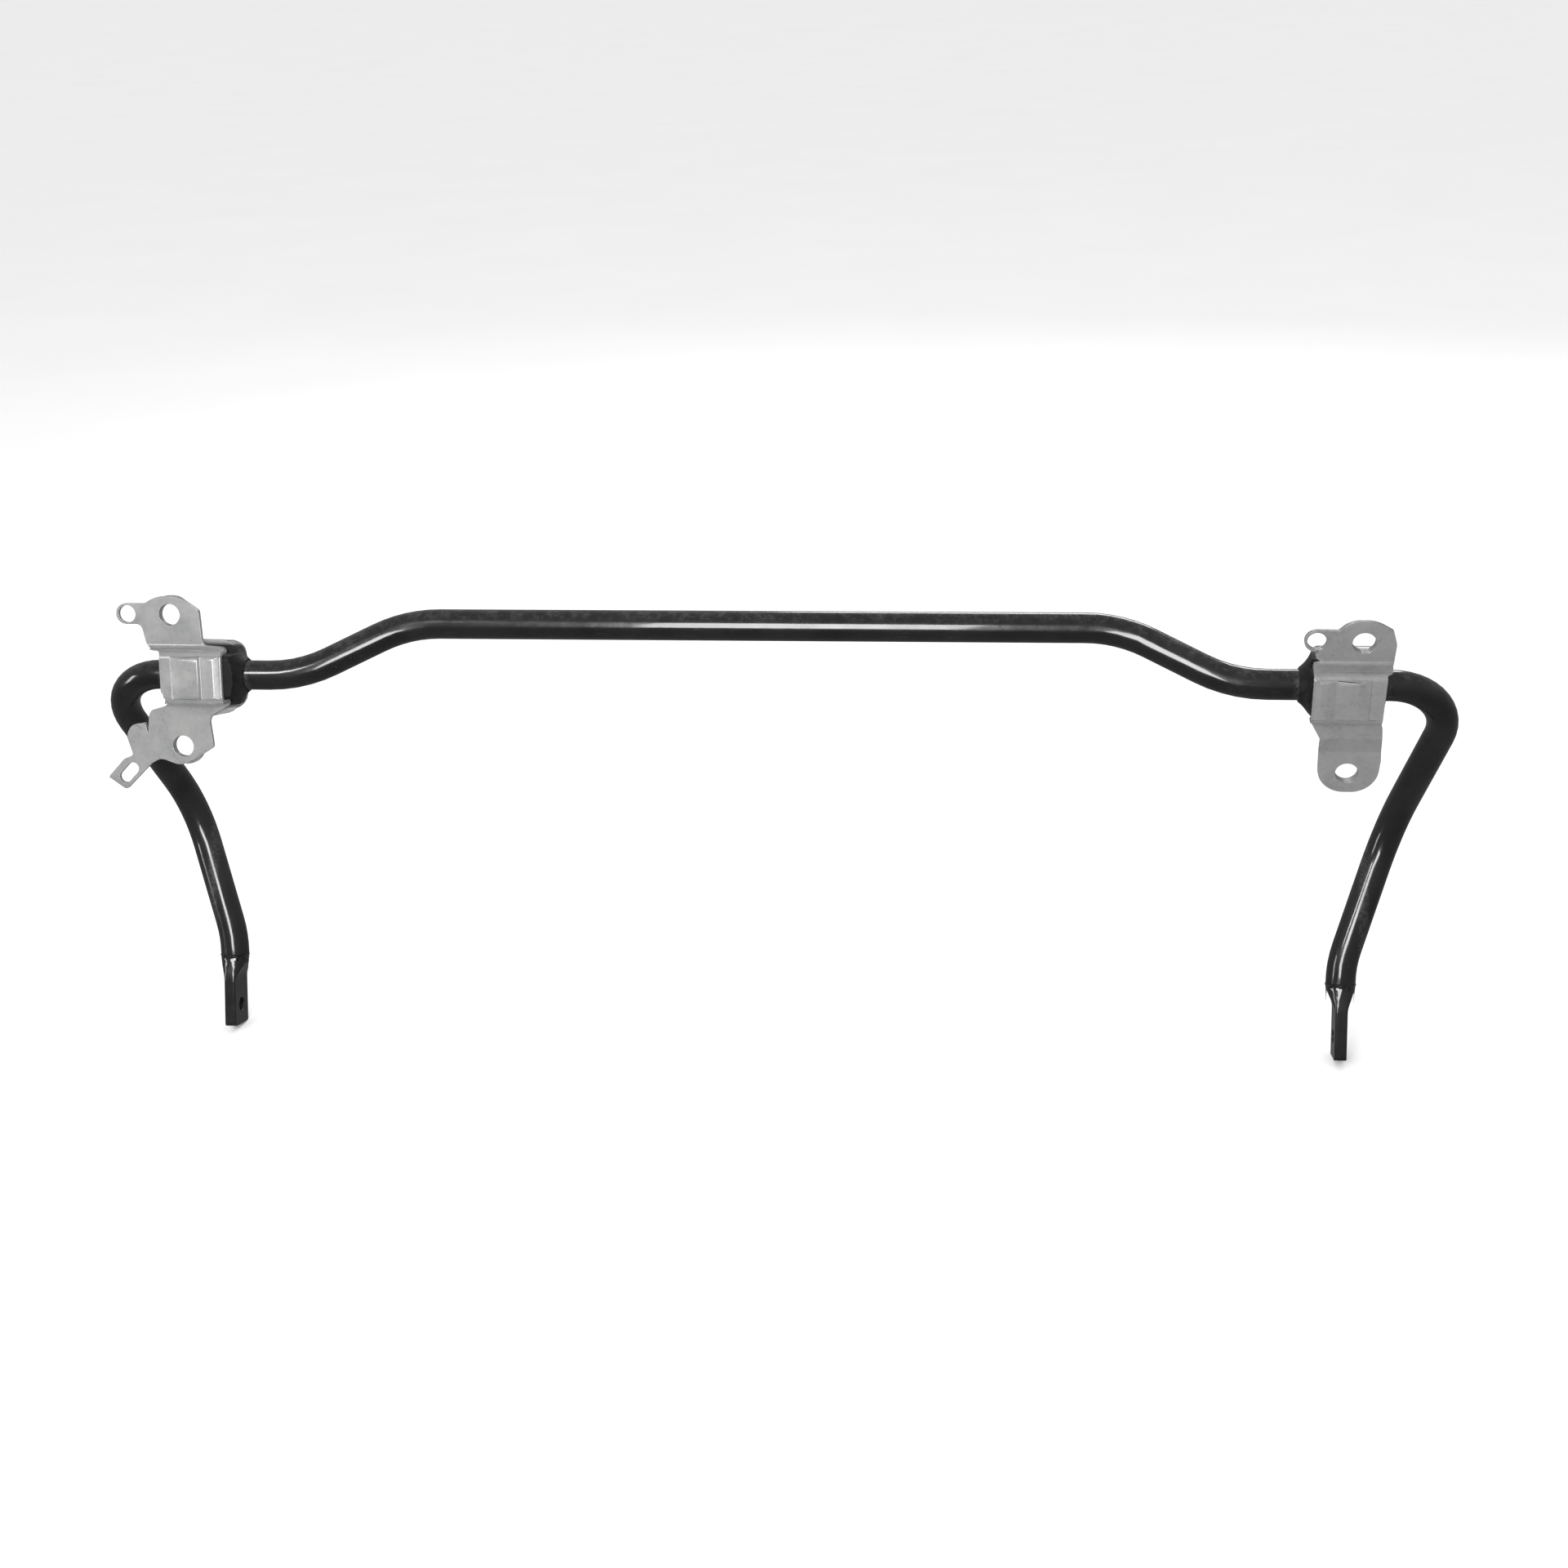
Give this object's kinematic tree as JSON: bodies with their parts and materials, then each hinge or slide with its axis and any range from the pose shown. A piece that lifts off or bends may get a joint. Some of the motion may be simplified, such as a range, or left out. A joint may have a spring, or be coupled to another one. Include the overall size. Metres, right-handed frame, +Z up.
{
  "type": "sway bar",
  "caption": "Bent round steel sway bar with forged flat link eyes, and on each side a rubber bush held in a ribbed pressed-steel bolt-on clamp.",
  "frame": {"origin": "middle of the bounding box's bottom face, under the ends of the link eyes", "axes": "+X along the bar towards its right end, +Y towards the rear plates, +Z up; at rest the left clamp is turned about the bar by 11.5 degrees so that its saddle looks up, and the right clamp by 11 degrees so that its saddle looks down"},
  "size_m": [0.9986, 0.089, 0.3573],
  "materials": {
    "bar_paint": "gloss black enamel over spring steel",
    "bush_rubber": "moulded black rubber",
    "bracket_steel": "satin zinc-plated pressed steel"
  },
  "bodies": {
    "bar": {"stabilizer_bar": "bar_paint"},
    "left_clamp": {"left_bush": "bush_rubber", "left_front_bracket": "bracket_steel", "left_rear_plate": "bracket_steel"},
    "right_clamp": {"right_bush": "bush_rubber", "right_front_bracket": "bracket_steel", "right_rear_plate": "bracket_steel"}
  },
  "joints": [
    {"name": "left_clamp_turn", "type": "hinge", "parent": "bar", "child": "left_clamp", "pos_m": [-0.4175, -0.0183, 0.29791], "axis": [1, 0, 0], "range_deg": [-80, 14]},
    {"name": "right_clamp_turn", "type": "hinge", "parent": "bar", "child": "right_clamp", "pos_m": [0.4175, -0.0183, 0.29791], "axis": [1, 0, 0], "range_deg": [-90, 90]}
  ]
}
